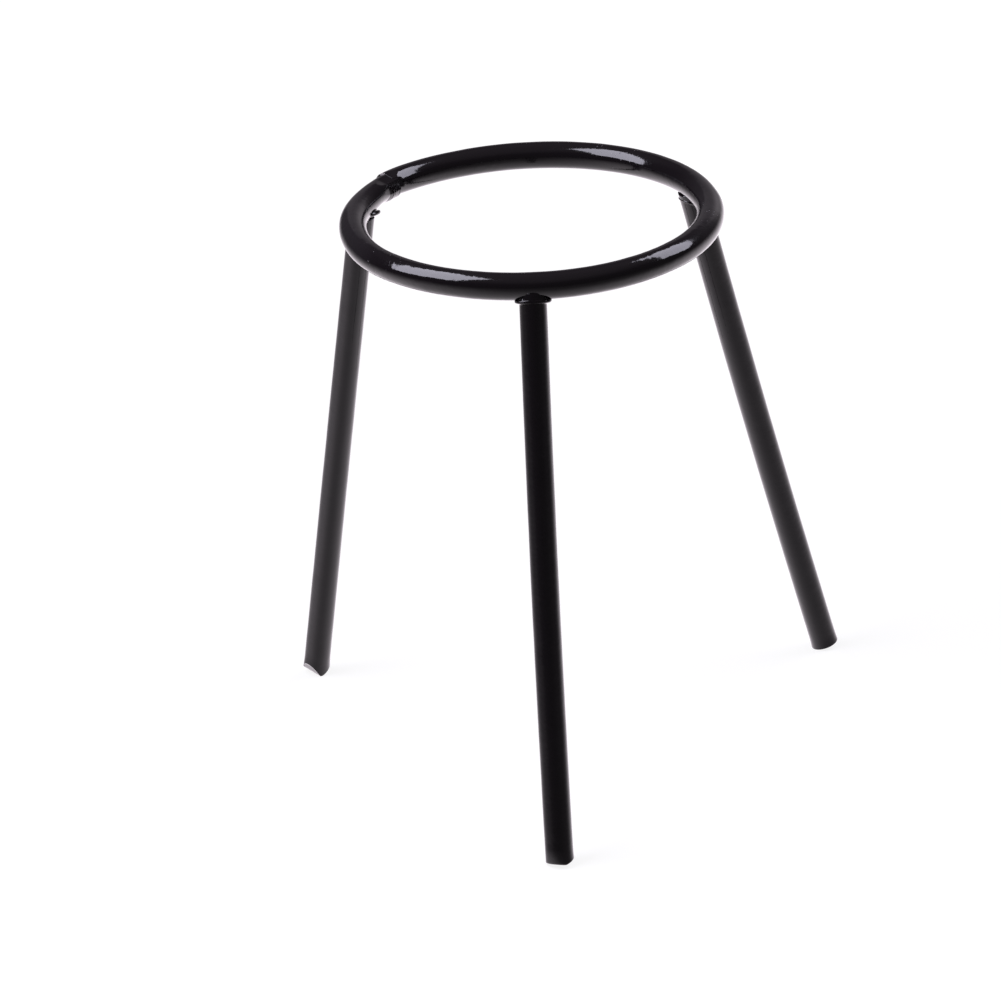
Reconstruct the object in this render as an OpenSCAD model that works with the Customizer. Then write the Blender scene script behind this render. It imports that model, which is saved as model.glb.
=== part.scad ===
// Laboratory tripod stand: a ring bent from round bar, butt welded at one seam,
// on three splayed rods that are cropped at the foot and welded under the ring.
// Millimetres. +Z is up, the bench is z = 0 and the ring's axis is the Z axis.
// The front leg stands towards -Y, the left leg towards -X and the right leg towards +X.

/* [Stand] */
// Height from the bench to the top of the ring
stand_h = 210.5; // [160:0.5:260]

/* [Ring] */
// Outside diameter of the ring
ring_od = 142; // [110:1:180]
// Diameter of the round bar that the ring is bent from
bar_d = 10; // [8:0.1:12]

/* [Ring seam] */
// Direction of the seam, seen from above, counter-clockwise from +X
seam_deg = 143.2; // [80:0.1:145]
// Length of the bar that has sprung out before the seam, as an angle of the ring
sprung_deg = 40; // [25:1:60]
// How far the sprung end stands out past the other end
seam_step_out = 0.8; // [0.2:0.1:2]
// How far the sprung end stands above the other end
seam_step_up = 0.5; // [0.1:0.1:1.5]
// Width of the weld that joins the two ends
seam_weld_w = 3.5; // [2:0.1:6]
// How far the weld's edges lie below the surface of the bar
seam_weld_sink = 0.25; // [0.1:0.05:0.6]
// How far the middle of the weld stands above its edges
seam_weld_crown = 0.45; // [0.2:0.05:0.8]

/* [Legs] */
// Diameter of the leg rods
leg_d = 9.7; // [8:0.1:12]
// Depth to which the ring's bar is seated in the top end of a rod
leg_bite = 1.6; // [0.8:0.1:2.4]
// Direction from the ring's axis to the top of the front leg
front_top_deg = -91.7; // [-110:0.1:-70]
// Distance from the ring's axis to the foot of the front leg
front_foot_r = 120.5; // [90:0.1:150]
// Direction from the ring's axis to the foot of the front leg
front_foot_deg = -91; // [-110:0.1:-70]
// Direction from the ring's axis to the top of the left leg
left_top_deg = 160.9; // [158:0.1:175]
// Distance from the ring's axis to the foot of the left leg
left_foot_r = 107.6; // [90:0.1:150]
// Direction from the ring's axis to the foot of the left leg
left_foot_deg = 148.6; // [140:0.1:175]
// Direction from the ring's axis to the top of the right leg
right_top_deg = 26.9; // [10:0.1:40]
// Distance from the ring's axis to the foot of the right leg
right_foot_r = 119.9; // [90:0.1:150]
// Direction from the ring's axis to the foot of the right leg
right_foot_deg = 27.8; // [10:0.1:45]

/* [Leg welds] */
// How far the front weld's rim stands out from the rod
front_weld_reach = 1.75; // [0.4:0.05:3]
// How far the left weld's rim stands out from the rod
left_weld_reach = 2.4; // [0.4:0.05:3.5]
// How far the right weld's rim stands out from the rod
right_weld_reach = 0.4; // [0.3:0.05:3]
// Height of the front weld's rim above the lowest line of the ring's bar
front_weld_rise = 0.1; // [-1:0.1:0.6]
// Height of the left weld's rim above the lowest line of the ring's bar
left_weld_rise = 0.8; // [-1:0.1:1.2]
// Height of the right weld's rim above the lowest line of the ring's bar
right_weld_rise = -0.7; // [-1:0.1:0.6]
// Height to which the front weld's shoulder climbs above its rim
front_weld_climb = 2.9; // [1.8:0.1:3.4]
// Height to which the left weld's shoulder climbs above its rim
left_weld_climb = 0.8; // [0.6:0.1:2]
// Height to which the right weld's shoulder climbs above its rim
right_weld_climb = 2.1; // [1.2:0.1:2.2]
// Tilt of the front weld, which lifts its inner side up the ring's bar
front_weld_tilt = 0; // [0:1:10]
// Tilt of the left weld, which lifts its inner side up the ring's bar
left_weld_tilt = 24; // [10:1:30]
// Tilt of the right weld, which lifts its inner side up the ring's bar
right_weld_tilt = 0; // [0:1:10]
// Width of each weld's shoulder, from the rim inwards
weld_shoulder = 2.6; // [2.2:0.1:3.2]
// Radius of the rounded underside of each rim
weld_under = 0.4; // [0.3:0.05:0.8]
// Length of the concave toe that runs from each rim down its rod
weld_toe = 1; // [0.5:0.1:2]

/* [Cropped feet] */
// Turn of the front foot's ridge about its rod
front_ridge_deg = 31; // [0:1:60]
// Distance of the front foot's ridge from the middle of its rod
front_ridge_off = -2.1; // [-3:0.1:3]
// Slope of the front foot's inner face
front_inner_slope = 24; // [5:1:50]
// Slope of the front foot's outer face
front_outer_slope = 45; // [5:1:50]
// Turn of the left foot's ridge about its rod
left_ridge_deg = 90; // [60:1:120]
// Distance of the left foot's ridge from the middle of its rod
left_ridge_off = 1.7; // [-3:0.1:3]
// Slope of the left foot's near face
left_near_slope = 47; // [5:1:50]
// Slope of the left foot's far face
left_far_slope = 20; // [5:1:50]
// Turn of the right foot's ridge about its rod
right_ridge_deg = -53; // [-80:1:-20]
// Distance of the right foot's ridge from the middle of its rod
right_ridge_off = 1.4; // [-3:0.1:3]
// Slope of the right foot's near face
right_near_slope = 7; // [5:1:50]
// Slope of the right foot's far face
right_far_slope = 39; // [5:1:50]
// Depth of the worn flat on which each foot stands
foot_flat = 0.2; // [0.1:0.05:0.5]

/* [Hidden] */

$fn = 96;

// Colours of the paint: wet gloss on the ring, thinner on the rods and welds
RING_BLACK = [0.07, 0.07, 0.08];
LEG_BLACK = [0.11, 0.105, 0.11];
WELD_BLACK = [0.15, 0.145, 0.15];

bar_r = bar_d / 2;
leg_r = leg_d / 2;
ring_r = ring_od / 2 - bar_r;
ring_z = stand_h - bar_r;

// The sprung arc starts tangent to the ring, opens to a larger radius and tips up
// about that tangent, so that its end has the two steps at the seam. It is drawn a
// little too long, by sprung_over degrees, and then cut square.
sprung_sag = 1 - cos(sprung_deg);
sprung_r = ring_r + seam_step_out / sprung_sag;
sprung_tip = asin(seam_step_up / (sprung_r * sprung_sag));
sprung_over = 3;
seam_weld_deg = seam_weld_w / ring_r * 180 / PI;

// Places along a leg are measured down its axis from the middle of the ring's bar.
// Each weld's toe starts inside the rod, by weld_root_in, and is trimmed to the rod.
leg_top = bar_r - leg_bite;
weld_root_in = 0.3;
weld_root_r = leg_r - weld_root_in;
arc_step = 10;

// A leg is [top direction, foot distance, foot direction, ridge turn, ridge offset,
//           slope on the ridge's + side, slope on its - side,
//           weld reach, weld rise, weld climb, weld tilt]
FRONT = [front_top_deg, front_foot_r, front_foot_deg, front_ridge_deg, front_ridge_off,
         front_inner_slope, front_outer_slope,
         front_weld_reach, front_weld_rise, front_weld_climb, front_weld_tilt];
LEFT = [left_top_deg, left_foot_r, left_foot_deg, left_ridge_deg, left_ridge_off,
        left_near_slope, left_far_slope,
        left_weld_reach, left_weld_rise, left_weld_climb, left_weld_tilt];
RIGHT = [right_top_deg, right_foot_r, right_foot_deg, right_ridge_deg, right_ridge_off,
         right_near_slope, right_far_slope,
         right_weld_reach, right_weld_rise, right_weld_climb, right_weld_tilt];

function top_of(leg) = [ring_r * cos(leg[0]), ring_r * sin(leg[0]), ring_z];
function foot_of(leg) = [leg[1] * cos(leg[2]), leg[1] * sin(leg[2]), 0];
function run_of(leg) = foot_of(leg) - top_of(leg);
function lean_of(leg) = acos(ring_z / norm(run_of(leg)));

// Height of the cropped end above its ridge, at the distance p across the ridge
function crop_rise(leg, p) =
  p > leg[4] ? (p - leg[4]) * tan(leg[5]) : (leg[4] - p) * tan(leg[6]);

// Lowest point of the rod's rim below the level of the ridge's middle
function rim_drop(leg) = max([for (a = [0:1:359])
  leg_r * cos(a) * sin(lean_of(leg))
  - crop_rise(leg, leg_r * cos(a - leg[3])) * cos(lean_of(leg))]);

// Length down the axis to the ridge, so that the flat reaches the bench
function ridge_d(leg) =
  (ring_z - rim_drop(leg) + foot_flat) / cos(lean_of(leg));

// Turns +Z down a leg's axis, with +X towards the inside of the stand
module along(leg) {
  run = run_of(leg);
  translate(top_of(leg))
    rotate([0, 180 - lean_of(leg), atan2(run.y, run.x)])
      children();
}

// The ring's bar as a whole circle, for what is seated on it
module bar_circle() {
  translate([0, 0, ring_z])
    rotate_extrude()
      translate([ring_r, 0]) circle(r = bar_r);
}

// A slice of the ring's zone between two directions, about the ring's middle
module sector(from, to) {
  rotate([0, 0, from])
    rotate_extrude(angle = to - from)
      translate([ring_r - bar_d, -bar_d]) square(2 * bar_d);
}

// The bar, clockwise from where its other end springs out round to the weld
module true_arc() {
  mirror([0, 1, 0])
    rotate_extrude(angle = 360 - seam_weld_deg - sprung_deg)
      translate([ring_r, 0]) circle(r = bar_r);
}

// The sprung end of the bar, counter-clockwise, cut square at the seam
module sprung_arc() {
  difference() {
    translate([ring_r, 0, 0]) rotate([0, sprung_tip, 0]) translate([-sprung_r, 0, 0])
      rotate_extrude(angle = sprung_deg + sprung_over)
        translate([sprung_r, 0]) circle(r = bar_r);
    sector(sprung_deg, sprung_deg + 2 * sprung_over);
  }
}

module ring() {
  color(RING_BLACK)
    translate([0, 0, ring_z])
      rotate([0, 0, seam_deg - sprung_deg])
        union() {
          true_arc();
          sprung_arc();
        }
}

// A domed bead midway between the two bar ends, trimmed to their end faces
module ring_seam_weld() {
  edge_r = bar_r - seam_weld_sink;
  color(WELD_BLACK)
    translate([0, 0, ring_z])
      intersection() {
        rotate([0, 0, seam_deg + seam_weld_deg / 2])
          translate([ring_r + seam_step_out / 2, 0, seam_step_up / 2])
            rotate([90, 0, 0])
              rotate_extrude()
                polygon([
                  [0, -seam_weld_w],
                  for (t = [-1:0.2:1])
                    [edge_r + seam_weld_crown * max(0, 1 - 4 * t * t), t * seam_weld_w],
                  [0, seam_weld_w]
                ]);
        sector(seam_deg, seam_deg + seam_weld_deg);
      }
}

// The round stock of a leg, from its seat under the bar to a length down its axis
module stock(length) {
  translate([0, 0, leg_top]) cylinder(r = leg_r, h = length - leg_top);
}

// A rod with its foot cropped to a ridge between two sloping faces
module rod(leg) {
  half = leg_d;
  end = ridge_d(leg);
  intersection() {
    stock(end + leg_r);
    rotate([0, 0, leg[3]])
      rotate([90, 0, 0])
        linear_extrude(height = 2 * half, center = true)
          polygon([
            [-half, 0],
            [half, 0],
            [half, end - crop_rise(leg, half)],
            [leg[4], end],
            [-half, end - crop_rise(leg, -half)]
          ]);
  }
}

module leg(leg) {
  reach = 4 * leg_d;
  color(LEG_BLACK)
    difference() {
      along(leg) rod(leg);
      bar_circle();
      translate(foot_of(leg) - [reach / 2, reach / 2, reach]) cube(reach);
    }
}

// The weld round the top of a rod: a shoulder against the bar, a rim and a toe
module leg_weld(leg) {
  rim_r = leg_r + leg[7];
  under_r = rim_r - weld_under;
  color(WELD_BLACK)
    difference() {
      along(leg)
        difference() {
          translate([0, 0, bar_r - leg[8]])
            rotate([0, leg[10], 0])
              rotate_extrude()
                polygon([
                  [0, -leg[9]],
                  for (a = [0:arc_step:90])
                    [rim_r - weld_shoulder * (1 - sin(a)), -leg[9] * cos(a)],
                  for (a = [arc_step:arc_step:90])
                    [under_r + weld_under * cos(a), weld_under * sin(a)],
                  for (a = [arc_step:arc_step:90])
                    [under_r - (under_r - weld_root_r) * sin(a),
                     weld_under + weld_toe * (1 - cos(a))],
                  [0, weld_under + weld_toe]
                ]);
          stock(2 * leg_d);
        }
      bar_circle();
    }
}

ring();
ring_seam_weld();
leg(FRONT);  // front_leg
leg(LEFT);  // left_leg
leg(RIGHT);  // right_leg
leg_weld(FRONT);  // front_leg_weld
leg_weld(LEFT);  // left_leg_weld
leg_weld(RIGHT);  // right_leg_weld
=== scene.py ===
"""Laboratory tripod stand: black enamelled ring on three splayed rods.

Every surface is worked out with numpy as a function of two parameters, in metres and in
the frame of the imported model: +Z up, the bench at z = 0, the ring's axis on the Z axis.
"""

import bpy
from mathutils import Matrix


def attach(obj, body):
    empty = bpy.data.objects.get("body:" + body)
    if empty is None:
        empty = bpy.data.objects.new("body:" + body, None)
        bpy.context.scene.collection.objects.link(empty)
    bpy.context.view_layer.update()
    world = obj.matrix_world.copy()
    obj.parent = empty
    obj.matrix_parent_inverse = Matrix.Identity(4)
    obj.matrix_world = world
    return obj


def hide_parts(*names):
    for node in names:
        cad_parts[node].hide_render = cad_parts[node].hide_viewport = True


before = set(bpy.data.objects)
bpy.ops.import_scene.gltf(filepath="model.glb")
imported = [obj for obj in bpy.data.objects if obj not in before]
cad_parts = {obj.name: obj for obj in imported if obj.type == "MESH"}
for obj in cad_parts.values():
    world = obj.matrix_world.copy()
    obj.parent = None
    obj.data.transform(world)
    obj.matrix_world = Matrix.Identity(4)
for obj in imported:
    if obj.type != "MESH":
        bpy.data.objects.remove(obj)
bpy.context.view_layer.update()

from collections import namedtuple
from math import acos, asin, cos, pi, radians, sin, tan

import bpy
import numpy as np
from bpy.props import FloatProperty, FloatVectorProperty, PointerProperty
from mathutils import Matrix, Vector

bl_info = {
    "name": "Laboratory tripod stand",
    "version": (1, 0, 0),
    "blender": (4, 5, 0),
    "location": "View3D > Sidebar > Tripod stand",
    "description": "Builds an enamelled tripod stand round its packed model",
    "category": "Add Mesh",
}

MM = 0.001

# One leg, in millimetres and degrees:
#   top, foot_dir    directions from the ring's axis to its top and to its foot
#   foot_r           distance from that axis to its foot
#   aside, bow       how far its top stands, and how far its middle is bent, towards -X
#   more             what it measures over the nominal radius at its top and at its foot
#   ridge, off       direction square to the cropped end's ridge, and how far out the ridge lies
#   slopes           slopes of the end's two faces, first the one on that direction's side
#   roll             radius of the end's rolled edge, how much it varies, where it is largest
#   press            how far the end is pressed in on its near side
#   reach, lip, toe  how far the weld's rim stands out, the rim's radius, the toe's length
#   rise, climb      height of the rim over the bar's underside, and of the shoulder over the rim
#   tilt             how far the weld leans, upwards towards the inside of the stand
#   even             share of its reach that the rim keeps across the bar
#   seed             start of the leg's random surface
Leg = namedtuple(
    "Leg",
    "top foot_r foot_dir aside bow more ridge off slopes roll press "
    "reach lip toe rise climb tilt even seed",
)
LEGS = {
    "front": Leg(
        top=-91.7, foot_r=121.1, foot_dir=-91.0, aside=-0.4, bow=0.6, more=(0.2, 0.36),
        ridge=43.6, off=-1.2, slopes=(25, 9), roll=(0.45, 0.15, 190), press=0.85,
        reach=1.7, lip=0.65, toe=0.9, rise=-0.4, climb=3.3, tilt=0, even=0.03, seed=5,
    ),
    "left": Leg(
        top=160.9, foot_r=107.6, foot_dir=148.6, aside=0.2, bow=0.12, more=(0.03, 0.16),
        ridge=83, off=2.2, slopes=(62.5, 32), roll=(0.35, 0.1, 180), press=0,
        reach=2.6, lip=0.85, toe=0.5, rise=0.1, climb=0.3, tilt=37, even=1.0, seed=8,
    ),
    "right": Leg(
        top=26.9, foot_r=119.9, foot_dir=27.8, aside=-0.5, bow=0.75, more=(0.36, 0.28),
        ridge=-78, off=-1.5, slopes=(7, 39), roll=(0.5, 0.25, 208), press=0,
        reach=1.0, lip=0.45, toe=0.8, rise=-3.4, climb=2.6, tilt=30, even=1.0, seed=11,
    ),
}

# Where the bending rolls left the ring out of round: direction and half width in degrees,
# and how far the bar stands outwards there, in millimetres.
BENDS = ((-2, 16, -0.2), (15, 8, -0.22), (50, 22, 0.18), (92, 14, -0.16), (138, 14, 0.5),
         (168, 16, 0.5), (208, 16, 0.45), (232, 14, 0.15), (288, 16, 0.1))

# Where the bar is thinner at the seam: direction and half width in degrees, first along the
# ring and then round the bar's section, in which 0 is outwards and 90 upwards.
NECK_ALONG = (148.5, 8.5)
NECK_ROUND = (222, 45)

# Directions in the section of the two flats to which the seam is filed.
FLATS = (110, 160)

# Height of the seam weld over the bar at places along it, both in millimetres. The places are
# counted from the direction of the seam, and are negative over the sprung end.
CROWN = ((-2.4, -0.05), (0, 0), (2, 0.05), (3.5, 0.05), (4.8, 0.02), (5.9, -0.15))

# Radius of the edge round an end of the bar, the depth to which the rods' tops are seated in
# the bar, and the worn flat's depth at the feet.
END_EDGE = 0.1 * MM
SEAT = 1.6 * MM
WORN_FLAT = 0.2 * MM

# The near side of the front rod's end, where it is pressed in: direction in the rod's section,
# in which 0 is inwards and 90 across, and half width, in degrees.
NEAR_SIDE = (205, 55)

# How deep the inside of a leg weld lies in the rod and in the bar.
SUNK = 0.3 * MM

# Where dust was caught in the enamel, how far from there its nibs thin out, how far from the
# ring's middle plane the flanks' dust haze and painted sheen set in, and the square of how far
# forwards and back they end, in metres.
SPECKLED = ((-0.055, -0.037, 0.21), (0.034, 0.054, 0.21), (0.063, -0.013, 0.21))
NIBS_THIN = (0.007, 0.016)
HAZE_AND_SHEEN_ASIDE = (0.055, 0.066)
HAZE_AND_SHEEN_ENDS = (0.0009, 0.0022)

# Half the side of the table, in metres.
TABLE_HALF = 12.0

# The soft lamps: centre from the middle of the ring, where the back faces, the direction of the
# width, half the width and half the height, in metres, and radiance. Both have one colour.
LAMPS = {
    "lamp_left": ((-0.451, -0.125, 0.628), (-0.819, 0.455, 0.349), (-0.136, -0.745, 0.653),
                  0.339, 0.346, 5.6),
    "lamp_right": ((1.188, 0.506, 1.203), (0.744, 0.668, -0.001), (-0.506, 0.564, 0.652),
                   0.797, 0.444, 4.2),
}
LAMP_COLOUR = (0.96, 0.935, 1.09)


# ---------------------------------------------------------------- sizes and colours


class StandSizes(bpy.types.PropertyGroup):
    """Sizes of the stand. The defaults of the lap, the flats, the neck and the rolled edge are
    the finish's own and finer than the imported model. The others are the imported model's."""

    bar_d: FloatProperty(
        name="Bar diameter", description="Round bar that the ring is bent from",
        default=10 * MM, min=8 * MM, max=12 * MM, precision=4, unit="LENGTH",
    )
    leg_d: FloatProperty(
        name="Rod diameter", description="Round rods of the legs",
        default=9.7 * MM, min=8 * MM, max=12 * MM, precision=4, unit="LENGTH",
    )
    ring_top: FloatProperty(
        name="Height of the ring", description="From the bench to the top of the true arc",
        default=210.5 * MM, min=160 * MM, max=260 * MM, precision=4, unit="LENGTH",
    )
    ring_od: FloatProperty(
        name="Outside diameter", description="Outside diameter of the ring",
        default=142 * MM, min=110 * MM, max=180 * MM, precision=4, unit="LENGTH",
    )
    seam: FloatProperty(
        name="Seam", description="Direction of the sprung end's face",
        default=radians(143.2), min=radians(80), max=radians(145), unit="ROTATION",
    )
    sprung: FloatProperty(
        name="Sprung arc", description="Angle over which the bar springs out to the seam",
        default=radians(40), min=radians(25), max=radians(60), unit="ROTATION",
    )
    step_out: FloatProperty(
        name="Step out", description="How far the sprung end stands outwards",
        default=0.8 * MM, min=0.2 * MM, max=2 * MM, precision=5, unit="LENGTH",
    )
    step_up: FloatProperty(
        name="Step up", description="How far the sprung end stands up",
        default=0.5 * MM, min=0.1 * MM, max=1.5 * MM, precision=5, unit="LENGTH",
    )
    seam_weld: FloatProperty(
        name="Seam weld", description="Width of the weld between the bar's two ends",
        default=3.5 * MM, min=2 * MM, max=6 * MM, precision=5, unit="LENGTH",
    )
    seam_lap: FloatProperty(
        name="Seam lap", description="How far the weld laps back over the sprung end",
        default=2.1 * MM, min=0, max=4 * MM, precision=5, unit="LENGTH",
    )
    dressing: FloatProperty(
        name="Dressed flats", description="Depth to which the seam was filed down",
        default=0.5 * MM, min=0, max=1.2 * MM, precision=5, unit="LENGTH",
    )
    foot_edge: FloatProperty(
        name="Rolled edge", description="Scale of the radius that the cropper leaves at the feet",
        default=1, min=0.2, max=1.5, subtype="FACTOR",
    )
    neck: FloatProperty(
        name="Neck", description="How much thinner the bar is under the seam",
        default=0.85 * MM, min=0, max=1.5 * MM, precision=5, unit="LENGTH",
    )


class PaintLook(bpy.types.PropertyGroup):
    """Colours and surface of the enamel."""

    enamel: FloatVectorProperty(
        name="Enamel", description="Colour of the black enamel",
        default=(0.0060, 0.0040, 0.0058), size=3, min=0, max=1, subtype="COLOR",
    )
    # colour of the dust nibs, and also of the painted sheen drawn on the ring's flanks towards the
    # lamps
    dust_and_sheen: FloatVectorProperty(
        name="Dust", description="Colour of the specks caught in the enamel",
        default=(0.16, 0.15, 0.16), size=3, min=0, max=1, subtype="COLOR",
    )
    bare_edge: FloatVectorProperty(
        name="Chipped edge", description="Colour where the enamel is thin on an edge",
        default=(0.46, 0.43, 0.42), size=3, min=0, max=1, subtype="COLOR",
    )
    roughness: FloatProperty(
        name="Roughness", description="Roughness of the clean enamel",
        default=0.07, min=0, max=1, subtype="FACTOR",
    )
    refraction: FloatProperty(
        name="Refraction", description="Index of refraction of the enamel",
        default=1.6, min=1.3, max=2,
    )
    peel: FloatProperty(
        name="Orange peel", description="Height of the enamel's fine waves",
        default=0.02 * MM, min=0, max=0.1 * MM, precision=6, unit="LENGTH",
    )
    coat: FloatProperty(
        name="Coat", description="Thickness of the enamel",
        default=0.07 * MM, min=0, max=0.3 * MM, precision=6, unit="LENGTH",
    )
    film: FloatProperty(
        name="Uneven film", description="Height of the enamel's broad lumps",
        default=0.03 * MM, min=0, max=0.2 * MM, precision=6, unit="LENGTH",
    )


class Studio(bpy.types.PropertyGroup):
    """The camera, the lamps and the floor."""

    distance: FloatProperty(
        name="Distance", description="From the camera to the ring",
        default=2580.2 * MM, min=1, max=6, unit="LENGTH",
    )
    elevation: FloatProperty(
        name="Elevation", description="Height of the camera above the horizon",
        default=radians(23.714), min=0, max=radians(90), unit="ROTATION",
    )
    roll: FloatProperty(
        name="Roll", description="Turn of the camera about its own line of sight",
        default=radians(-2.932), min=radians(-30), max=radians(30), unit="ROTATION",
    )
    lens: FloatProperty(
        name="Lens", description="Focal length on a 36 mm sensor",
        default=251.5, min=20, max=600,
    )
    aside: FloatProperty(
        name="Aside", description="How far the camera stands to the right",
        default=-11.71 * MM, min=-1, max=1, precision=5, unit="LENGTH",
    )
    raised: FloatProperty(
        name="Raised", description="How far the camera stands upwards",
        default=-103.86 * MM, min=-1, max=1, precision=5, unit="LENGTH",
    )
    lamps: FloatProperty(
        name="Lamps", description="Brightness of both lamps together",
        default=1, min=0, max=10, subtype="FACTOR",
    )
    table: FloatProperty(
        name="Table", description="Brightness of the white table beside the stand",
        default=1.055, min=0, max=3, subtype="FACTOR",
    )
    room: FloatProperty(
        name="Room", description="Brightness of the room above the table",
        default=0.062, min=0, max=1, subtype="FACTOR",
    )


# ---------------------------------------------------------------- arrays and meshes


def lumps(points, size, seed):
    """Smooth random heights from -1 to 1: random numbers on a cubic lattice with the given
    spacing, mixed along each axis with the fade 6t^5 - 15t^4 + 10t^3."""
    lattice = np.random.default_rng(seed).uniform(-1, 1, (32, 32, 32))
    place = points / size
    cell = np.floor(place).astype(int)
    part = place - cell
    fade = part**3 * (part * (6 * part - 15) + 10)
    total = 0
    for corner in np.ndindex(2, 2, 2):
        index = np.moveaxis((cell + corner) % 32, -1, 0)
        total = total + lattice[tuple(index)] * np.where(corner, fade, 1 - fade).prod(-1)
    return total


def hump(x, half):
    """A bell, exp(-(x / half) squared)."""
    return np.exp(-((x / half) ** 2))


def eased(x):
    """A smooth step, 3x^2 - 2x^3 with x held between 0 and 1."""
    x = np.clip(x, 0, 1)
    return x * x * (3 - 2 * x)


def turned(degrees, middle):
    """The angle from middle, in degrees, brought into -180 to 180."""
    return (degrees - middle + 180) % 360 - 180


def unit(vectors):
    """Vectors divided by their lengths."""
    return vectors / np.linalg.norm(vectors, axis=-1, keepdims=True)


def round_angles(columns):
    """Even angles round a section, in radians."""
    return np.linspace(0, 2 * pi, columns, endpoint=False)


def spokes(out, up, around):
    """The directions out cos a + up sin a, for each point of a line and each angle a."""
    return out[..., None, :] * np.cos(around)[:, None] + up[..., None, :] * np.sin(around)[:, None]


def grid_faces(rows, columns, wrap_rows):
    """Quads between neighbours of a grid whose columns close, and whose rows close too
    where wrap_rows is true."""
    row, column = np.meshgrid(
        np.arange(rows if wrap_rows else rows - 1), np.arange(columns), indexing="ij"
    )
    below, beside = (row + 1) % rows, (column + 1) % columns
    return np.stack(
        [row * columns + column, row * columns + beside,
         below * columns + beside, below * columns + column], -1,
    ).reshape(-1, 4)


def pole_faces(first, columns, pole):
    """Triangles from one row of a grid, starting at vertex first, to a pole."""
    column = np.arange(columns)
    return np.stack(
        [first + column, first + (column + 1) % columns, np.full(columns, pole)], -1
    )


def volume(points, faces):
    """Signed volume of a closed mesh: a sixth of the sum of a . (b x c) over its triangles."""
    a, b, c = (points[faces[:, k]] for k in (0, 1, 2))
    total = np.einsum("ij,ij->i", a, np.cross(b, c)).sum()
    if faces.shape[1] == 4:
        d = points[faces[:, 3]]
        total += np.einsum("ij,ij->i", a, np.cross(c, d)).sum()
    return total / 6


def new_piece(name, rows, closed, marks=None, crease=180):
    """A mesh object from a grid of points. A grid that doesn't close from its last row to its
    first gets a pole in the middle of each end row. Faces are turned to point outwards.
    marks are named values at the points, for the materials. Edges that fold by more than crease
    degrees are sharp."""
    count, columns = rows.shape[:2]
    points = rows.reshape(-1, 3)
    quads = grid_faces(count, columns, closed)
    tris = np.zeros((0, 3), int)
    if not closed:
        points = np.vstack([points, rows[0].mean(0), rows[-1].mean(0)])
        tris = np.vstack([
            pole_faces(0, columns, count * columns)[:, ::-1],
            pole_faces((count - 1) * columns, columns, count * columns + 1),
        ])
    if volume(points, quads) + volume(points, tris) < 0:
        quads, tris = quads[:, ::-1], tris[:, ::-1]
    mesh = bpy.data.meshes.new(name)
    mesh.from_pydata(points.tolist(), [], quads.tolist() + tris.tolist())
    for mark, values in (marks or {}).items():
        flat = np.concatenate([values.ravel(), np.zeros(len(points) - values.size)])
        attribute = mesh.attributes.new(mark, "FLOAT", "POINT")
        attribute.data.foreach_set("value", flat.astype(np.float32))
    mesh.shade_smooth()
    if crease < 180:
        mesh.set_sharp_from_angle(angle=radians(crease))
    mesh.update()
    piece = bpy.data.objects.new(name, mesh)
    bpy.context.scene.collection.objects.link(piece)
    return piece


def finish_piece(piece, node, material):
    """Puts a material on a piece, makes it stand for its node and ride on the stand."""
    piece.data.materials.append(material)
    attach(piece, "root")
    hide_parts(node)


# ---------------------------------------------------------------- shapes


def bar_radii(s):
    """Radius of the bar, and radius of the circle of its middle line."""
    bar_r = s.bar_d / 2
    return bar_r, s.ring_od / 2 - bar_r


def ring_line(s, turn):
    """The middle line of the ring's bar at the angles turn, in radians from the far end of the
    seam weld, counter-clockwise. The true arc is a circle, whose last s.sprung turns on a larger
    circle that touches it, tipped up about that tangent. Bends in the radius are added."""
    bar_r, ring_r = bar_radii(s)
    weld_turn = s.seam_weld / ring_r
    start = s.seam + weld_turn
    spring = 2 * pi - weld_turn - s.sprung
    sag = 1 - cos(s.sprung)
    sprung_r = ring_r + s.step_out / sag
    tip = asin(s.step_up / (sprung_r * sag))
    true_turn = np.minimum(turn, spring)
    rest = np.maximum(turn - spring, 0)
    fall = sprung_r * (1 - np.cos(rest))
    out = ring_r - fall * cos(tip)
    side = sprung_r * np.sin(rest)
    up = fall * sin(tip)
    angle = start + true_turn
    x = out * np.cos(angle) - side * np.sin(angle)
    y = out * np.sin(angle) + side * np.cos(angle)
    around = np.degrees(np.arctan2(y, x))
    bent = sum(d * MM * hump(turned(around, a), w) for a, w, d in BENDS)
    far = np.hypot(x, y)
    return np.stack([x * (1 + bent / far), y * (1 + bent / far), s.ring_top - bar_r + up], -1)


def carried(line):
    """At each point of a line, the level direction outwards and the upward one, both square to
    the line."""
    along = unit(np.gradient(line, axis=0))
    up = unit(np.array([0, 0, 1.0]) - along * along[:, 2:])
    return np.cross(along, up), up


def ring_film(points, around, p):
    """Height of the enamel over the bar: broad lumps, finer waves that are stronger on the near
    side, small ripples in patches, and a sag that gathers along the underside."""
    near = 0.5 + 0.5 * np.clip(-points[..., 1] / (60 * MM), -1, 1)
    broad = lumps(points, 7 * MM, 1)
    fine = lumps(points, 2.6 * MM, 2) * (0.12 + 0.4 * near)
    patches = np.clip(lumps(points, 14 * MM, 3) * 2 + near - 0.4, 0, 1)
    ripples = lumps(points, 1.2 * MM, 4) * 0.55 * patches
    sag = 0.08 * MM * np.clip(-np.sin(around), 0, 1) ** 3
    return (broad + fine + ripples) * p.film + sag + p.coat


def dressed(s, radius, around, share):
    """The radius of a round bar after two flats were filed along it, towards the inside of its
    top and on its inner side. The planes lie at their depth times share, and meet the round
    over a soft edge."""
    soft = 0.002 * MM
    for middle in FLATS:
        facing = np.maximum(np.cos(around - radians(middle)), 0.2)
        plane = (s.bar_d / 2 - s.dressing * share) / facing
        radius = radius - soft * np.logaddexp(0, (radius - plane) / soft)
    return radius


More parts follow.
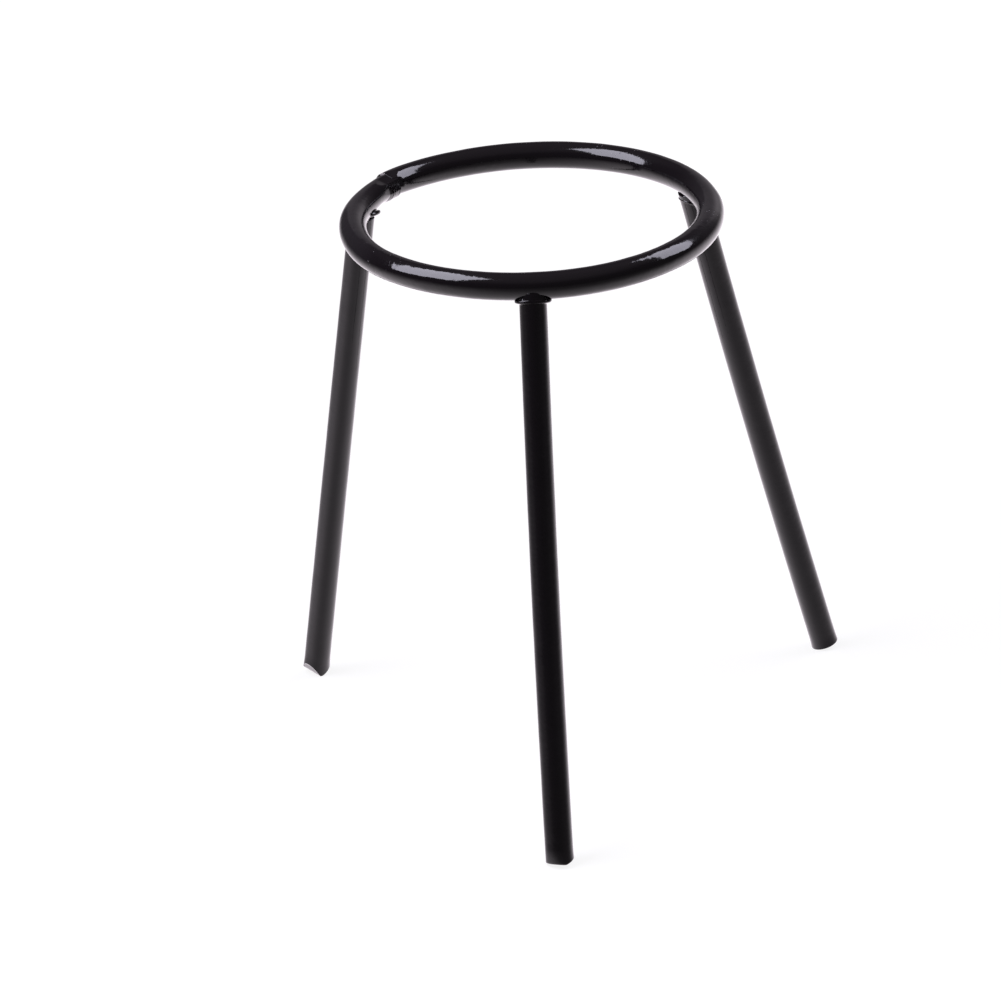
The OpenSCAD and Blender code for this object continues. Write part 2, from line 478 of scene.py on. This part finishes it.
def necked(s, line, around):
    """How much thinner the bar is at each place on a line round the seam: a hollow along its
    inner underside, a bell in the direction from the axis times a bell round the section."""
    (middle, half), (low, spread) = NECK_ALONG, NECK_ROUND
    along = hump(turned(np.degrees(np.arctan2(line[:, 1], line[:, 0])), middle), half)
    return s.neck * along[:, None] * hump(turned(np.degrees(around), low), spread)


def seam_share(s, turn):
    """How much the filing reaches a place on the true arc: whole at the weld, and fading out
    between 1 and 7 mm beyond its far edge."""
    beyond = turn * (s.ring_od - s.bar_d) / 2 / MM
    return 1 - eased((beyond - 1) / 6)


def ring_bar(s, p, rows=1180, columns=80):
    """The bar as a tube along ring_line. A point is the line plus the section's radius times
    (out cos a + up sin a); each end is rounded over and closed. The mark "worn" is 1 on the
    sprung end's face, where the enamel is thin at its top."""
    bar_r, ring_r = bar_radii(s)
    whole = 2 * pi - (s.seam_weld + s.seam_lap) / ring_r
    bend = np.linspace(0, pi / 2, 7)[:-1]
    rounding = END_EDGE / ring_r * (1 - np.cos(bend))
    turn = np.linspace(0, whole, rows)
    turn = np.concatenate([
        rounding,
        turn[(turn > END_EDGE / ring_r) & (turn < whole - END_EDGE / ring_r)],
        whole - rounding[::-1],
    ])
    rim = 1 - END_EDGE / bar_r * (1 - np.sin(bend))
    shrink = np.ones(len(turn))
    shrink[: len(rim)] = rim
    shrink[-len(rim):] = rim[::-1]
    line = ring_line(s, turn)
    around = round_angles(columns)
    degrees = np.degrees(around)
    spoke = spokes(*carried(line), around)
    film = ring_film(line[:, None] + spoke * bar_r, around, p)
    # the film runs out at both ends
    to_end = np.minimum(turn, whole - turn) * ring_r
    film = film * np.clip(to_end / (2 * MM) - 0.3, 0, 1)[:, None]
    # the filing goes back along the sprung end: on its top it is whole for 1 mm and fades over
    # 4 mm, and on its inner side it is whole for 4.5 mm and then stops
    back = ((whole - turn) * ring_r / MM)[:, None]
    begin = np.interp(degrees, [120, 150], [1, 4.5])
    fade = np.interp(degrees, [120, 135], [4, 0.05])
    share = np.maximum(seam_share(s, turn)[:, None], 1 - eased((back - begin) / fade))
    radius = dressed(s, bar_r, around, share) * shrink[:, None] - necked(s, line, around)
    surface = line[:, None] + spoke * (radius + film)[..., None]
    # three smaller rings fill each end's face
    caps = np.array([0.75, 0.45, 0.15])[:, None, None]
    low = line[0] + (surface[0] - line[0]) * caps[::-1]
    high = line[-1] + (surface[-1] - line[-1]) * caps
    surface = np.concatenate([low, surface, high])
    worn = np.zeros(surface.shape[:2])
    # the sprung end's caps and rounded edge are marked, round 72 degrees
    worn[-8:] = hump(turned(degrees, 72), 15)
    return surface, worn


def seam_bead(s, p, rows=150, columns=128):
    """The seam weld: a tube along the true arc that covers the end of the sprung bar and feathers
    out over the other end. It is filed down with the bar, and two ridges and a notch are left on
    its inner side. Places along it are counted from the seam, in millimetres."""
    bar_r, ring_r = bar_radii(s)
    first = -s.seam_lap - 0.12 * MM
    tail = 2.4 * MM
    bend = np.linspace(0, pi / 2, 6)[:-1]
    reach = np.concatenate([
        first + END_EDGE * (1 - np.cos(bend)),
        np.linspace(first + END_EDGE, s.seam_weld + tail, rows),
    ])
    shrink = np.ones(len(reach))
    shrink[: len(bend)] = 1 - END_EDGE / bar_r * (1 - np.sin(bend))
    turn = (reach - s.seam_weld) / ring_r
    line = ring_line(s, turn)
    around = round_angles(columns)
    degrees = np.degrees(around)
    spoke = spokes(*carried(line), around)
    crown = np.interp(reach / MM, *zip(*CROWN)) * MM
    inside = hump(turned(degrees, 186), 24)
    under = hump(turned(degrees, 196), 14)
    place = reach[:, None] / MM
    ridges = (hump(place - 2.7, 0.3) * 0.16 + hump(place - 1.3, 0.25) * 0.08) * inside
    notch = hump(place + 0.9, 0.35) * 0.12 * under
    rough = line[:, None] + spoke * bar_r
    lumpy = lumps(rough, 1.5 * MM, 21) * 0.01 + lumps(rough, 3.1 * MM, 22) * 0.025
    height = crown[:, None] + (ridges - notch + lumpy) * MM
    radius = dressed(s, bar_r, around, seam_share(s, turn)[:, None]) * shrink[:, None]
    # the bead fills half of the bar's neck, and none of it where it runs out
    necking = np.interp(reach / MM, [2.5, 5], [0.5, 1])[:, None] * necked(s, line, around)
    radius = radius - necking + p.coat
    return line[:, None] + spoke * (radius + height)[..., None]


def leg_frame(s, leg):
    """The top of a leg at the bar's middle line, and the directions down the rod, towards the
    inside of the stand and across."""
    bar_r, ring_r = bar_radii(s)
    a, f = radians(leg.top), radians(leg.foot_dir)
    top = np.array([ring_r * cos(a) - leg.aside * MM, ring_r * sin(a), s.ring_top - bar_r])
    foot = np.array([leg.foot_r * cos(f), leg.foot_r * sin(f), 0]) * MM
    down = unit(foot - top)
    across = unit(np.array([-down[1], down[0], 0]))
    inward = np.cross(across, down)
    return top, down, inward, across


def bar_gap(s, points):
    """Distance from points to the surface of the ring's bar, negative inside it."""
    bar_r, ring_r = bar_radii(s)
    flat = np.hypot(points[..., 0], points[..., 1]) - ring_r
    return np.hypot(flat, points[..., 2] - (s.ring_top - bar_r)) - bar_r


def rod(s, p, leg, rows=560, columns=84):
    """A leg's rod. Each point lies at a radius and an angle in the rod's section and at a depth
    down its axis: from the bar's underside, along the side, round the rolled edge and over the
    two sloping faces of the cropped end. What would lie under the bench is worn flat on it."""
    top, down, inward, across = leg_frame(s, leg)
    rod_r = s.leg_d / 2
    lean = acos(-down[2])
    whole = (s.ring_top - s.bar_d / 2) / cos(lean)
    around = round_angles(columns)
    spoke = spokes(inward, across, around)
    mean, vary, thickest = leg.roll
    edge = (mean + vary * np.cos(around - radians(thickest))) * s.foot_edge * MM
    soft = 0.25 * MM

    def place(radius, depth):
        """Point at a radius and depth for every angle; the rod is bowed like half a sine."""
        share = np.clip(depth / whole, 0, 1)
        bow = leg.bow * MM * np.sin(pi * share)
        return (top + down * depth[..., None] + np.array([-1, 0, 0]) * bow[..., None]
                + spoke * radius[..., None])

    def crop(radius):
        """Height of the cropped end above its ridge: two slopes that meet in a soft ridge."""
        off = radius * np.cos(around - radians(leg.ridge)) - leg.off * MM
        one, two = (tan(radians(k)) for k in leg.slopes)
        return 0.5 * ((one + two) * (np.sqrt(off**2 + soft**2) - soft) + (one - two) * off)

    def seat(radius):
        """Depth at which a line down the rod comes within 0.2 mm of the bar's skin, by halving
        an interval, or that of the seat if it is greater."""
        low = np.zeros_like(radius)
        high = np.full_like(radius, s.bar_d)
        for _ in range(24):
            middle = (low + high) / 2
            inside = bar_gap(s, place(radius, middle)) < -0.2 * MM
            low, high = np.where(inside, middle, low), np.where(inside, high, middle)
        return np.maximum(high, s.bar_d / 2 - SEAT)

    full = np.full(columns, rod_r)
    # the cropper spreads the end a little, and may press in its near side
    near, half = NEAR_SIDE
    spread = (0.16 - leg.press * hump(turned(np.degrees(around), near), half)) * MM
    # the lowest point of the rim, taken 0.4 of the rolled edge inwards, lies under the bench by
    # the depth of the worn flat
    inner = rod_r + spread - edge
    drop = (rod_r - 0.4 * edge) * np.cos(around) * sin(lean) - crop(inner) * cos(lean)
    end = whole - (drop.max() - WORN_FLAT) / cos(lean)
    stop = end - crop(inner)
    first = seat(full)
    share = np.linspace(0, 1, rows)[:, None]
    side = first + (stop - edge - first) * share
    bend = np.linspace(0, pi / 2, 9)[1:, None]
    depth = np.concatenate([side, stop - edge + edge * np.sin(bend)])
    radius = np.concatenate([full + 0 * side, full + spread - edge * (1 - np.cos(bend))])
    skin = place(radius, depth)
    # a lumpy film with marks drawn out along the rod, which fades before the cropped end
    fade = np.clip((stop - depth) / (3 * MM), 0, 1)
    drawn = lumps(np.stack([depth / 14, radius * np.cos(around), radius * np.sin(around)], -1),
                  1.3 * MM, leg.seed) * 0.25
    height = (lumps(skin, 8 * MM, leg.seed + 1) * 0.8 + drawn
              + lumps(skin, 2.4 * MM, leg.seed + 2) * 0.2) * p.film * fade
    more = np.interp(depth / whole, [0, 1], leg.more) * MM
    # the spread starts 5 mm above the end; the rolled edge's own radius has it already
    flare = spread * np.clip(1 - (stop - edge - depth) / (5 * MM), 0, 1) ** 2
    flare[rows:] = 0
    skin = skin + spoke * (height + more * radius / rod_r + flare)[..., None]
    shrink = np.linspace(1, 0, 14)[1:-1]
    thick = 1 + leg.more[1] * MM / rod_r
    caps = np.array([place(inner * k * thick, end - crop(inner * k)) for k in shrink])
    lids = np.array([place(full * k, seat(full * k)) for k in shrink[::-1]])
    points = np.concatenate([lids, skin, caps])
    points[..., 2] = np.maximum(points[..., 2], 0)
    return points


def bead_profile(leg, rod_r):
    """Radius and depth along the closed profile of a leg's weld. The shoulder comes down from
    the bar in a hollow curve, in which the radius grows with the square of the way. The rim is a
    round lip, the toe slopes down to the rod, and the way back lies in the rod."""
    lip, toe, climb = leg.lip * MM, leg.toe * MM, leg.climb * MM
    middle = rod_r + leg.reach * MM - lip
    root = rod_r - SUNK
    turn = np.radians(np.linspace(112, -90, 22))
    neck = middle + lip * cos(turn[0])
    start = min(rod_r - 0.1 * MM, neck - 0.4 * MM)
    way = np.linspace(0, 1, 18)[:-1]
    fall = np.linspace(0, 1, 14)[1:]
    back = np.linspace(0, 1, 12)[1:-1]
    shoulder = [start + (neck - start) * way**2, -climb + (climb - lip * sin(turn[0])) * way]
    bead = [middle + lip * np.cos(turn), -lip * np.sin(turn)]
    foot = [middle - (middle - root) * fall, lip + toe * fall**1.6]
    lowest = foot[1][-1]
    close = [root + (start - 0.6 * MM - root) * back, lowest + (-climb - lowest) * back]
    return [np.concatenate(parts) for parts in zip(shoulder, bead, foot, close)]


def pressed_out(s, points):
    """Points, with those deep in the bar moved straight out from its middle line to just under
    its skin."""
    bar_r, ring_r = bar_radii(s)
    flat = points[..., :2] / np.hypot(points[..., 0], points[..., 1])[..., None] * ring_r
    centre = np.concatenate([flat, np.full(flat.shape[:2] + (1,), s.ring_top - bar_r)], -1)
    away = points - centre
    gap = np.linalg.norm(away, axis=-1, keepdims=True)
    least = bar_r - SUNK
    return np.where(gap < least, centre + away / gap * least, points)


def leg_bead(s, leg, columns=260):
    """A leg's weld: its profile turned about the rod, tilted and made lumpy. Across the bar,
    where the rod was pressed against it, the rim reaches out less and the toe is shorter."""
    top, down, inward, across = leg_frame(s, leg)
    rod_r = s.leg_d / 2 + leg.more[0] * MM
    reach = leg.reach * MM
    radius, depth = (part[:, None] for part in bead_profile(leg, rod_r))
    around = round_angles(columns)
    lost = 1 - (leg.even + (1 - leg.even) * np.abs(np.sin(around)) ** 1.6)
    radius = radius - np.clip((radius - rod_r) / reach, 0, 1) * lost * reach
    depth = depth * (1 - 0.35 * lost * (depth > 0)) - np.maximum(depth - leg.lip * MM, 0) * lost
    tilt = radians(leg.tilt)
    x, y, z = radius * np.cos(around), radius * np.sin(around), depth + 0 * around
    x, z = x * cos(tilt) + z * sin(tilt), -x * sin(tilt) + z * cos(tilt)
    z = z + s.bar_d / 2 - leg.rise * MM
    points = top + inward * x[..., None] + across * y[..., None] + down * z[..., None]
    spoke = unit(inward * x[..., None] + across * y[..., None])
    live = np.clip((radius - (rod_r - SUNK)) / (0.5 * MM), 0, 1)[..., None]
    wide, small = lumps(points, 3.3 * MM, leg.seed + 3), lumps(points, 1.3 * MM, leg.seed + 4)
    points = points + spoke * (wide * 0.06 + small * 0.025)[..., None] * live * MM
    points = points + down * lumps(points, 2.4 * MM, leg.seed + 5)[..., None] * live * 0.07 * MM
    return pressed_out(s, points)


# ---------------------------------------------------------------- materials


class Wire:
    """A shader socket or a number. Its operators add Math nodes."""

    def __init__(self, shader, socket):
        self.shader, self.socket = shader, socket

    def math(self, operation, *others):
        return self.shader.node(
            "ShaderNodeMath", {"operation": operation}, dict(enumerate((self,) + others))
        )

    def back(self, operation, other):
        return self.shader.node(
            "ShaderNodeMath", {"operation": operation}, {0: other, 1: self}
        )

    def __add__(self, other):
        return self.math("ADD", other)

    def __sub__(self, other):
        return self.math("SUBTRACT", other)

    def __mul__(self, other):
        return self.math("MULTIPLY", other)

    def __truediv__(self, other):
        return self.math("DIVIDE", other)

    def __rsub__(self, other):
        return self.back("SUBTRACT", other)

    def __rtruediv__(self, other):
        return self.back("DIVIDE", other)

    __radd__ = __add__
    __rmul__ = __mul__

    def over(self, low, high):
        """0 below low, 1 above high and a smooth step between them."""
        return self.shader.node(
            "ShaderNodeMapRange", {"interpolation_type": "SMOOTHSTEP"},
            {"Value": self, "From Min": low, "From Max": high},
        )


class Shader:
    """The node tree of a material or of the world."""

    def __init__(self, owner):
        owner.use_nodes = True
        self.tree = owner.node_tree
        self.tree.nodes.clear()

    def node(self, kind, settings=None, sockets=None, output=0):
        """A node of a kind. Its settings are set first, then its sockets get values or links.
        Its chosen output comes back as a Wire."""
        made = self.tree.nodes.new(kind)
        for name, value in (settings or {}).items():
            setattr(made, name, value)
        for key, value in (sockets or {}).items():
            if isinstance(value, Wire):
                self.tree.links.new(value.socket, made.inputs[key])
            else:
                made.inputs[key].default_value = value
        return Wire(self, made.outputs[output]) if made.outputs else None

    def noise(self, place, scale, detail=2.0, roughness=0.5):
        """Noise from 0 to 1 at a place, with a scale in features a metre."""
        return self.node(
            "ShaderNodeTexNoise", None,
            {"Vector": place, "Scale": scale, "Detail": detail, "Roughness": roughness},
        )

    def blend(self, share, one, two):
        """Colour one where share is 0 and two where it is 1."""
        return self.node(
            "ShaderNodeMix", {"data_type": "RGBA"}, {"Factor": share, 6: one, 7: two}, 2
        )


def rgba(colour):
    """A colour with full opacity."""
    return (*colour, 1.0)


def enamel(name, p, roughness=1.0, peel=1.0, specks=1.0, dust_haze_and_sheen=1.0, worn=False):
    """Black enamel: nearly black under a clear gloss, with orange peel, nibs caught in the film in
    patches, and faint scuffs where it has rubbed. On the ring's flanks, its left and right ends
    that face the lamps, the colour is drawn lighter and rougher: partly a hazy layer of settled
    specks and partly a painted sheen. Where the mesh is marked as worn, the bare edge shows."""
    material = bpy.data.materials.new(name)
    shader = Shader(material)
    place = shader.node("ShaderNodeTexCoord", output="Object")
    axes = shader.node("ShaderNodeSeparateXYZ", None, {"Vector": place}).socket.node.outputs
    x, y = Wire(shader, axes["X"]), Wire(shader, axes["Y"])
    cloud = shader.noise(place, 90, 3)
    patch = 0.0
    for middle in SPECKLED:
        away = shader.node("ShaderNodeVectorMath", {"operation": "DISTANCE"},
                           {0: place, 1: middle}, 1)
        patch = patch + (1 - away.over(*NIBS_THIN))
    scuff = (shader.noise(place, 240, 4, 0.65) * 0.6 + cloud * 0.4).over(0.56, 0.68)
    cells = shader.node("ShaderNodeTexVoronoi", None, {"Vector": place, "Scale": 620})
    nibs = (1 - cells.over(0.08, 0.22)) * shader.noise(place, 170, 2).over(0.46, 0.56) * patch
    nibs = nibs * specks
    # the ring's left and right ends, beside the lamps: partly a thin dust haze and partly a
    # painted sheen
    flank_haze_and_sheen = x.math("ABSOLUTE").over(*HAZE_AND_SHEEN_ASIDE) * (1 - (y * y).over(*HAZE_AND_SHEEN_ENDS))
    film = flank_haze_and_sheen * (0.4 + 0.6 * shader.noise(place, 420, 3, 0.7)) * dust_haze_and_sheen
    colour = shader.blend(nibs * 0.8, rgba(p.enamel), rgba(p.dust_and_sheen))
    # the painted sheen and the dust haze draw the flanks lighter
    colour = shader.blend(film * 0.07, colour, rgba(p.dust_and_sheen))
    rough = p.roughness * roughness * (1 + cloud * 0.6) + scuff * 0.05 + nibs * 0.3 + film * 0.08
    if worn:
        mark = shader.node("ShaderNodeAttribute", {"attribute_name": "worn"}, output="Fac")
        chip = (mark + shader.noise(place, 1500, 3) * 0.4).over(0.55, 0.75)
        colour = shader.blend(chip, colour, rgba(p.bare_edge))
        rough = rough + chip * 0.3
    height = (
        shader.noise(place, 620, 1)
        + shader.noise(place, 260, 2) * 1.4
        + nibs * 1.6
    ) * peel
    bump = shader.node(
        "ShaderNodeBump", None, {"Strength": 1.0, "Distance": p.peel, "Height": height}
    )
    gloss = shader.node(
        "ShaderNodeBsdfPrincipled", None,
        {"Base Color": colour, "Roughness": rough, "IOR": p.refraction, "Normal": bump},
    )
    shader.node("ShaderNodeOutputMaterial", None, {"Surface": gloss})
    return material


def table_white():
    """The floor: white ground that keeps the stand's faint shadow. The gloss looks past it, at
    the room."""
    material = bpy.data.materials.new("table_white")
    shader = Shader(material)
    kinds = shader.node("ShaderNodeLightPath").socket.node.outputs
    camera, glossy = (Wire(shader, kinds[k]) for k in ("Is Camera Ray", "Is Glossy Ray"))
    place = shader.node("ShaderNodeTexCoord", output="Object")
    far = shader.node("ShaderNodeVectorMath", {"operation": "LENGTH"}, {0: place}, 1)
    # the ground glows a little less near the stand, where its diffuse part adds the lamps' light
    glow = camera * (0.865 + far.over(0.15, 0.8) * 0.12)
    white = shader.node("ShaderNodeBsdfDiffuse", None, {"Color": (0.22, 0.22, 0.22, 1)})
    shine = shader.node("ShaderNodeEmission", None, {"Color": (1, 1, 1, 1), "Strength": glow})
    both = shader.node("ShaderNodeAddShader", None, {0: white, 1: shine})
    clear = shader.node("ShaderNodeBsdfTransparent")
    ground = shader.node("ShaderNodeMixShader", None, {0: glossy, 1: both, 2: clear})
    shader.node("ShaderNodeOutputMaterial", None, {"Surface": ground})
    return material


def room_light(studio):
    """The room round the stand: a dim upper half with a paler wall and a glow behind the stand,
    over a white table, which is brightest and has its sharpest edge beyond the stand. The camera
    itself sees plain white. All is given by direction: x to the right, y away and z upwards."""
    world = bpy.data.worlds.new("room")
    shader = Shader(world)
    camera = Wire(shader, shader.node("ShaderNodeLightPath").socket.node.outputs["Is Camera Ray"])
    towards = shader.node("ShaderNodeTexCoord", output="Generated")
    axes = shader.node("ShaderNodeSeparateXYZ", None, {"Vector": towards}).socket.node.outputs
    x, y, z = (Wire(shader, axes[k]) for k in "XYZ")
    low = 0 - z
    corner = x * y
    # the table sets in softly below the horizon, with a faint sharp edge at its start
    edge = low.over(0.027 - corner * 0.155, 0.625 - y * 0.066 - corner * 0.315)
    edge = edge + 0.05 * low.over(0.04 - corner * 0.12, 0.08 - corner * 0.12) * (1 - edge)
    table = (studio.table + y * 0.93) * edge
    # the paler wall stands beyond, between two upright edges and under a level one
    wall = (x + y * 0.26).over(-0.03, 0.03) * (1 - (x - y * 0.65).over(-0.04, 0.04))
    wall = wall * (1 - z.over(0.38, 0.5)) * y.over(0, 0.1)
    glow = ((x * 0.41 + y * 0.896 + z * 0.172 - 1) / 0.024).math("EXPONENT")
    # the room is brighter low down on the camera's side
    near = low.over(-0.15, 0.1) * (0.1 - y).over(0, 0.6)
    upper = studio.room * (1 + z.over(0.5, 0.95) * 1.4 + wall * 1.7 + glow * 5 + near)
    strength = camera + (1 - camera) * (upper + table)
    tint = shader.blend(camera, (1.02, 0.94, 1.01, 1), (1, 1, 1, 1))
    sky = shader.node("ShaderNodeBackground", None, {"Color": tint, "Strength": strength})
    shader.node("ShaderNodeOutputWorld", None, {"Surface": sky})
    return world


# ---------------------------------------------------------------- operators


class STAND_OT_ring(bpy.types.Operator):
    """Builds the ring of round bar"""

    bl_idname = "stand.ring"
    bl_label = "Ring"

    def execute(self, context):
        scene = context.scene
        rows, worn = ring_bar(scene.stand_sizes, scene.stand_paint)
        piece = new_piece("ring_bar", rows, False, {"worn": worn}, crease=32)
        paint = enamel("ring_enamel", scene.stand_paint, worn=True)
        finish_piece(piece, "ring", paint)
        return {"FINISHED"}


class STAND_OT_seam_weld(bpy.types.Operator):
    """Builds the weld between the two ends of the ring's bar"""

    bl_idname = "stand.seam_weld"
    bl_label = "Seam weld"

    def execute(self, context):
        scene = context.scene
        rows = seam_bead(scene.stand_sizes, scene.stand_paint)
        piece = new_piece("seam_bead", rows, False, crease=32)
        paint = enamel("seam_enamel", scene.stand_paint, roughness=1.3)
        finish_piece(piece, "ring_seam_weld", paint)
        return {"FINISHED"}


class STAND_OT_legs(bpy.types.Operator):
    """Builds the three rods with their cropped feet"""

    bl_idname = "stand.legs"
    bl_label = "Legs"

    def execute(self, context):
        scene = context.scene
        paint = enamel("leg_enamel", scene.stand_paint, specks=0.1, dust_haze_and_sheen=0)
        for name, leg in LEGS.items():
            rows = rod(scene.stand_sizes, scene.stand_paint, leg)
            piece = new_piece(f"{name}_rod", rows, False)
            finish_piece(piece, f"{name}_leg", paint)
        return {"FINISHED"}


class STAND_OT_leg_welds(bpy.types.Operator):
    """Builds the welds round the tops of the rods"""

    bl_idname = "stand.leg_welds"
    bl_label = "Leg welds"

    def execute(self, context):
        scene = context.scene
        paint = enamel("weld_enamel", scene.stand_paint, roughness=1.3, dust_haze_and_sheen=0)
        for name, leg in LEGS.items():
            piece = new_piece(f"{name}_bead", leg_bead(scene.stand_sizes, leg), True)
            finish_piece(piece, f"{name}_leg_weld", paint)
        return {"FINISHED"}


def soft_lamp(name, centre, outwards, across, half_width, half_height, radiance):
    """A rectangular lamp at a centre, whose back faces outwards. Its power is the radiance times
    pi times its area."""
    lamp = bpy.data.lights.new(name, "AREA")
    lamp.shape = "RECTANGLE"
    lamp.size, lamp.size_y = 2 * half_width, 2 * half_height
    lamp.energy = radiance * pi * lamp.size * lamp.size_y
    lamp.color = LAMP_COLOUR
    back = Vector(outwards).normalized()
    side = (Vector(across) - Vector(across).dot(back) * back).normalized()
    turn = Matrix((side, back.cross(side), back)).transposed()
    lamp_object = bpy.data.objects.new(name, lamp)
    lamp_object.matrix_world = Matrix.Translation(centre) @ turn.to_4x4()
    bpy.context.scene.collection.objects.link(lamp_object)


class STAND_OT_studio(bpy.types.Operator):
    """Sets up the table, the room, two soft lamps and the camera"""

    bl_idname = "stand.studio"
    bl_label = "Studio"

    def execute(self, context):
        scene = context.scene
        s, studio = scene.stand_sizes, scene.stand_studio
        ring_middle = np.array([0, 0, s.ring_top - s.bar_d / 2])
        corners = [(x * TABLE_HALF, y * TABLE_HALF, 0)
                   for x, y in ((-1, -1), (1, -1), (1, 1), (-1, 1))]
        mesh = bpy.data.meshes.new("table")
        mesh.from_pydata(corners, [], [(0, 1, 2, 3)])
        table = bpy.data.objects.new("table", mesh)
        scene.collection.objects.link(table)
        mesh.materials.append(table_white())

        for name, (centre, *shape, radiance) in LAMPS.items():
            soft_lamp(name, ring_middle + np.array(centre), *shape, radiance * studio.lamps)
        scene.world = room_light(studio)

        camera = bpy.data.cameras.new("camera")
        camera.lens, camera.sensor_width = studio.lens, 36
        camera.clip_start, camera.clip_end = 0.05, 50
        # its axes, first level, then turned by the roll
        e, r = studio.elevation, studio.roll
        back = np.array([0, -cos(e), sin(e)])
        right, up = np.array([1, 0, 0]), np.array([0, sin(e), cos(e)])
        right, up = cos(r) * right + sin(r) * up, cos(r) * up - sin(r) * right
        place = ring_middle + back * studio.distance + right * studio.aside + up * studio.raised
        camera_object = bpy.data.objects.new("camera", camera)
        turn = Matrix((Vector(right), Vector(up), Vector(back))).transposed()
        camera_object.matrix_world = Matrix.Translation(place) @ turn.to_4x4()
        scene.collection.objects.link(camera_object)
        scene.camera = camera_object
        scene.view_settings.view_transform = "Standard"
        return {"FINISHED"}


class STAND_PT_panel(bpy.types.Panel):
    """Lists the pieces of the stand and its settings"""

    bl_idname = "STAND_PT_panel"
    bl_label = "Tripod stand"
    bl_space_type = "VIEW_3D"
    bl_region_type = "UI"
    bl_category = "Tripod stand"

    def draw(self, context):
        for step in STEPS:
            self.layout.operator(step.bl_idname)
        for group in GROUPS:
            box = self.layout.box()
            for name in type(getattr(context.scene, group)).__annotations__:
                box.prop(getattr(context.scene, group), name)


GROUPS = {"stand_sizes": StandSizes, "stand_paint": PaintLook, "stand_studio": Studio}
STEPS = (STAND_OT_studio, STAND_OT_ring, STAND_OT_seam_weld, STAND_OT_legs, STAND_OT_leg_welds)


def register():
    for item in (*GROUPS.values(), *STEPS, STAND_PT_panel):
        bpy.utils.register_class(item)
    for name, group in GROUPS.items():
        setattr(bpy.types.Scene, name, PointerProperty(type=group))


def unregister():
    for name in GROUPS:
        delattr(bpy.types.Scene, name)
    for item in (STAND_PT_panel, *STEPS[::-1], *GROUPS.values()):
        bpy.utils.unregister_class(item)


def main():
    register()
    bpy.ops.stand.studio()
    bpy.ops.stand.ring()
    bpy.ops.stand.seam_weld()
    bpy.ops.stand.legs()
    bpy.ops.stand.leg_welds()


if __name__ == "__main__":
    main()
